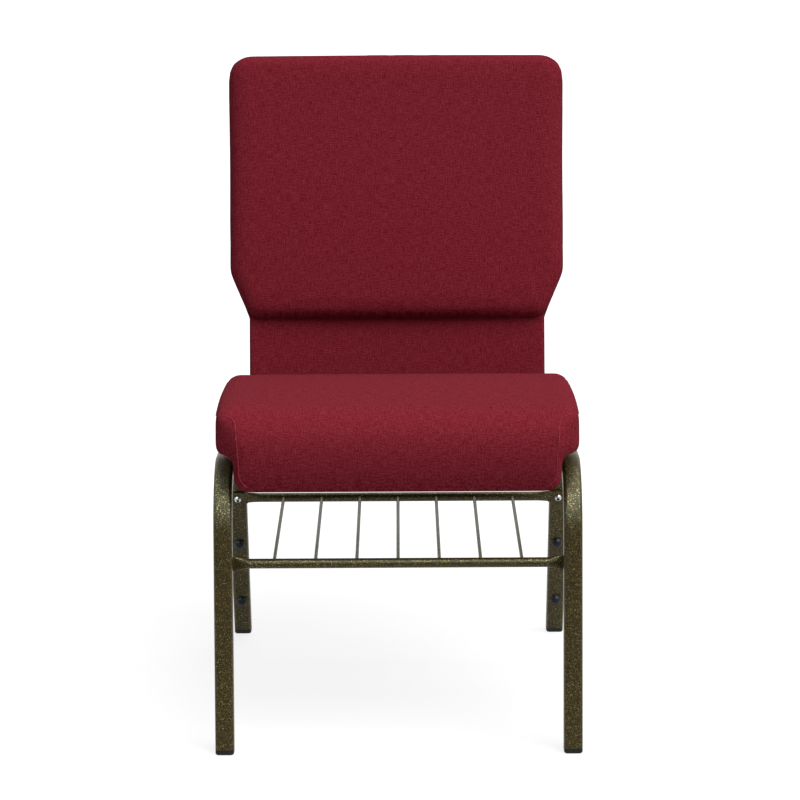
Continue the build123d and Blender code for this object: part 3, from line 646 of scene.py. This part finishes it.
# Upper back cushion: foam over the front and edges of the back board, covered in the same
# burgundy cloth, which is drawn over the edges of the hoop and stapled behind it.
BACK_RIGHT = Vector((1, 0, 0))
BACK_UP = Vector((0, 0.2334, 0.9724))
BACK_FRONT = Vector((0, -0.9724, 0.2334))
BACK_PLACE = Matrix((BACK_RIGHT, BACK_UP, BACK_FRONT)).transposed().to_4x4()
BACK_PLACE.translation = (0, 0.1059, 0.3724)
BACK_SWELL = 0.0012
BACK_VOXEL = 0.0046
BOARD_FRONT = -0.006
BOARD_HALF = 0.2175
BOARD_TOP = 0.468
BOARD_SLACK = 0.001
HOOP_REAR = -0.033
TACK_REAR = 0.006
TOP_HOLD = 0.8
LOWER_TOP = 0.118
SETTLE_REACH = 0.025
SETTLE_GAP = 0.0002


def back_held(point):
    """The back's cover is held round the board and along the rear edge, and less firmly
    above the board."""
    x, up, front = BACK_PLACE.inverted() @ point
    if front < HOOP_REAR + TACK_REAR:
        return 1.0
    if front < BOARD_FRONT + BOARD_SLACK and abs(x) < BOARD_HALF and up < BOARD_TOP:
        return 1.0
    if up > BOARD_TOP:
        return TOP_HOLD
    return 0.0


back_cushion = foam_piece("back_cushion", BACK_VOXEL, upholstery, "back_foam")
swell(back_cushion, back_held, BACK_SWELL)
smooth_points(back_cushion, lambda point: True, 1, LAST_SMOOTH)


def settle_back():
    """Lets the cushion's lower edge down onto the top of the lower panel."""
    to_back = BACK_PLACE.inverted()
    points = [to_back @ point.co for point in back_cushion.data.vertices]
    low = min(point.y for point in points)
    for vertex, point in zip(back_cushion.data.vertices, points):
        share = max(0, 1 - (point.y - low) / SETTLE_REACH)
        point.y -= (low - LOWER_TOP - SETTLE_GAP) * share
        vertex.co = BACK_PLACE @ point


settle_back()
refine(back_cushion)
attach(back_cushion, "root")
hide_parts("back_cover", "back_foam", "back_filler")

# Lower back panel: a thin pad on the back board in a sleeve of the same cloth, which turns
# round the sides of the hoop. It is narrower than the cushion and reaches up behind its foot.
LOWER_HALF = 0.2015
SLEEVE_EDGE = 0.004
SLEEVE_LAP = 0.020
SLEEVE_TOP = LOWER_TOP + SLEEVE_LAP
SLEEVE_CUTS_ACROSS, SLEEVE_CUTS_UP = 40, 14
FOLD_LENGTH = 0.01
LOWER_CROWN = 0.0012

bm = bmesh.new()
inner = LOWER_HALF - COVER
section = [(-LOWER_HALF, HOOP_REAR), (-LOWER_HALF, 0), (LOWER_HALF, 0), (LOWER_HALF, HOOP_REAR)]
section += [(inner, HOOP_REAR), (inner, BOARD_FRONT), (-inner, BOARD_FRONT), (-inner, HOOP_REAR)]
outline = [bm.verts.new((x, 0, front)) for x, front in section]
foot = bm.faces.new(outline)
raised = bmesh.ops.extrude_face_region(bm, geom=[foot])["geom"]
lifted = [part for part in raised if isinstance(part, bmesh.types.BMVert)]
bmesh.ops.translate(bm, verts=lifted, vec=(0, SLEEVE_TOP, 0))
bmesh.ops.recalc_face_normals(bm, faces=bm.faces)
folds = []
for edge in bm.edges:
    first, second = edge.verts[0].co, edge.verts[1].co
    if first.z == 0 and second.z == 0 and abs(first.y - second.y) > FOLD_LENGTH:
        folds.append(edge)
fold = {"offset": SLEEVE_EDGE, "segments": 5, "profile": 0.5}
bmesh.ops.bevel(bm, geom=folds, affect="EDGES", material=-1, **fold)
for cut in range(1, SLEEVE_CUTS_ACROSS):
    slice_at(bm, 0, -LOWER_HALF + cut * 2 * LOWER_HALF / SLEEVE_CUTS_ACROSS)
for cut in range(1, SLEEVE_CUTS_UP):
    slice_at(bm, 1, cut * SLEEVE_TOP / SLEEVE_CUTS_UP)
for point in bm.verts:
    if point.co.z > -1e-5:
        bulge = cos(pi / 2 * point.co.x / LOWER_HALF) * sin(pi * point.co.y / SLEEVE_TOP)
        point.co.z += LOWER_CROWN * bulge
bm.transform(BACK_PLACE)
lower_panel = new_piece("lower_back_panel", bm, upholstery)
lower_panel.modifiers.new("crisp", "WEIGHTED_NORMAL")
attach(lower_panel, "root")
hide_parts("lower_back_cover", "lower_back_pad")

# Rear panel: the same cloth drawn over a hardboard that closes the back. Its edges turn
# over the board, meet the cushion and lap over the lower sleeve, and the cloth lies slightly
# proud in the middle.
REAR_FACE = -0.0372
REAR_CROWN = 0.0015
REAR_HALF = 0.226
REAR_TALL = 0.477
REAR_GRID = 0.02
REAR_CUTS = ((-0.22, 0.22), (0.02, 0.46))
REAR_TURN = 0.005
REAR_LAP = 0.0006
EDGE_SLACK = 0.0005

bm = bmesh.new()
bm.from_mesh(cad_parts["rear_panel_cover"].data)
bmesh.ops.remove_doubles(bm, verts=bm.verts, dist=1e-5)
bm.transform(BACK_PLACE.inverted())
for axis, (low, high) in enumerate(REAR_CUTS):
    for cut in range(int((high - low) / REAR_GRID) + 1):
        slice_at(bm, axis, low + cut * REAR_GRID)
for point in bm.verts:
    if point.co.z < REAR_FACE + EDGE_SLACK:
        rise = sin(pi * min(max(point.co.y / REAR_TALL, 0), 1))
        point.co.z -= REAR_CROWN * max(cos(pi / 2 * point.co.x / REAR_HALF), 0) * rise
    elif point.co.z > HOOP_REAR - EDGE_SLACK:
        point.co.z += REAR_TURN
        if abs(point.co.x) > LOWER_HALF - REAR_TURN and point.co.y < LOWER_TOP + REAR_TURN:
            point.co.x += REAR_LAP if point.co.x > 0 else -REAR_LAP
bm.transform(BACK_PLACE)
rear_panel = new_piece("rear_panel", bm, upholstery)
rear_panel.modifiers.new("crisp", "WEIGHTED_NORMAL")
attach(rear_panel, "root")
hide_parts("rear_panel_cover")

# Floor and light: a pale floor under a wide soft lamp from ahead and to the right and a second
# one from above, with light all round that is weaker from the left. Floor and background look
# white. Reflections show that white behind the chair, and ahead a dark room with a cool lamp.
FLOOR_REACH = 14.0
FLOOR_GREY = (0.42, 0.42, 0.42, 1)
FLOOR_SEEN = (0.2, 0.2, 0.2, 1)
FLOOR_FADE = (0.35, 1.6)
FLOOR_GLOW = (0.82, 1.0)
FLOOR_AHEAD = (-1.3, -0.6)
WHITE = (1, 1, 1, 1)
AROUND_LEFT = 0.14
AROUND_RIGHT = 0.42
FRONT_ROOM = 0.04
ROOM_AHEAD = (-0.7, 0.1)
SOFTBOX_COOL = (0.74, 0.90, 1.0, 1)
SOFTBOX_STRENGTH = 3.0
SOFTBOX_AHEAD = (0.30, 0.0)
SOFTBOX_RISE = (0.15, 0.50)
KEY_DIRECTION = Vector((0.36, -0.52, 0.82))
KEY_STRENGTH = 3.2
KEY_SOFTNESS = 48.0
TOP_DIRECTION = Vector((0.10, 0.20, 0.97))
TOP_STRENGTH = 1.0
TOP_SOFTNESS = 30.0

bm = bmesh.new()
bmesh.ops.create_grid(bm, x_segments=1, y_segments=1, size=FLOOR_REACH)
floor_finish, tree, shader = new_finish("pale_floor")
shader.inputs["Base Color"].default_value = FLOOR_GREY
shader.inputs["Roughness"].default_value = 1.0
shader.inputs["Specular IOR Level"].default_value = 0.0
ray = add_node(tree, "ShaderNodeLightPath").outputs
place = add_node(tree, "ShaderNodeTexCoord").outputs["Object"]
away = add_node(tree, "ShaderNodeVectorMath", {0: place}, operation="LENGTH").outputs["Value"]
depth = add_node(tree, "ShaderNodeSeparateXYZ", {0: place}).outputs[1]
mirrored = calculate(tree, "MULTIPLY", ray["Is Glossy Ray"], spread(tree, depth, *FLOOR_AHEAD))
seen = calculate(tree, "MAXIMUM", ray["Is Camera Ray"], mirrored)
seen = calculate(tree, "MAXIMUM", seen, ray["Is Transmission Ray"])
strength = spread(tree, away, *FLOOR_FADE, *FLOOR_GLOW)
glow = add_node(tree, "ShaderNodeEmission", {"Color": WHITE, "Strength": strength})
pale = add_node(tree, "ShaderNodeBsdfDiffuse", {"Color": FLOOR_SEEN})
bright = add_node(tree, "ShaderNodeAddShader", {0: glow.outputs[0], 1: pale.outputs[0]})
inputs = {0: seen, 1: shader.outputs[0], 2: bright.outputs[0]}
choice = add_node(tree, "ShaderNodeMixShader", inputs)
tree.links.new(choice.outputs[0], tree.nodes["Material Output"].inputs["Surface"])
floor = new_piece("floor", bm, floor_finish)

world = bpy.data.worlds.new("studio")
scene.world = world
world.use_nodes = True
tree = world.node_tree
tree.nodes.clear()
ray = add_node(tree, "ShaderNodeLightPath").outputs
toward = add_node(tree, "ShaderNodeTexCoord").outputs["Generated"]
aim = add_node(tree, "ShaderNodeSeparateXYZ", {0: toward}).outputs
around = spread(tree, aim[0], -1.0, 1.0, AROUND_LEFT, AROUND_RIGHT)
ahead = spread(tree, aim[1], *SOFTBOX_AHEAD)
softbox = calculate(tree, "MULTIPLY", ahead, spread(tree, aim[2], *SOFTBOX_RISE))
softbox = calculate(tree, "MULTIPLY", softbox, ray["Is Glossy Ray"])
room = spread(tree, aim[1], *ROOM_AHEAD, FRONT_ROOM, 1.0)
mirrored = calculate(tree, "MULTIPLY_ADD", softbox, SOFTBOX_STRENGTH, room)
inputs = {"Value": ray["Is Glossy Ray"], "To Min": around, "To Max": mirrored}
unseen = add_node(tree, "ShaderNodeMapRange", inputs).outputs[0]
seen = calculate(tree, "MAXIMUM", ray["Is Camera Ray"], ray["Is Transmission Ray"])
inputs = {"Value": seen, "To Min": unseen, "To Max": 1.0}
level = add_node(tree, "ShaderNodeMapRange", inputs).outputs[0]
colour = tint(tree, softbox, WHITE, SOFTBOX_COOL)
sky = add_node(tree, "ShaderNodeBackground", {"Color": colour, "Strength": level})
add_node(tree, "ShaderNodeOutputWorld", {"Surface": sky.outputs[0]})

for name, direction, strength, softness in (
    ("key", KEY_DIRECTION, KEY_STRENGTH, KEY_SOFTNESS),
    ("top", TOP_DIRECTION, TOP_STRENGTH, TOP_SOFTNESS),
):
    lamp = bpy.data.lights.new(name, "SUN")
    lamp.energy = strength
    lamp.angle = radians(softness)
    light = bpy.data.objects.new(name, lamp)
    light.matrix_world = direction.to_track_quat("Z", "Y").to_matrix().to_4x4()
    scene.collection.objects.link(light)

# Camera: straight ahead of the chair and a little above it, with a long lens. Its place and
# tilt follow from where the four feet stand in the picture.
CAMERA_PLACE = (0.0035, -4.7644, 1.4264)
CAMERA_DOWN = 12.157
CAMERA_TURN = -0.3
CAMERA_LENS = 164.25

lens = bpy.data.cameras.new("camera")
lens.lens = CAMERA_LENS
lens.sensor_width = 36.0
camera = bpy.data.objects.new("camera", lens)
tilt = Matrix.Rotation(radians(90 - CAMERA_DOWN), 4, "X")
roll = Matrix.Rotation(radians(CAMERA_TURN), 4, "Z")
camera.matrix_world = Matrix.Translation(CAMERA_PLACE) @ tilt @ roll
scene.collection.objects.link(camera)
scene.camera = camera
scene.view_settings.view_transform = "Standard"
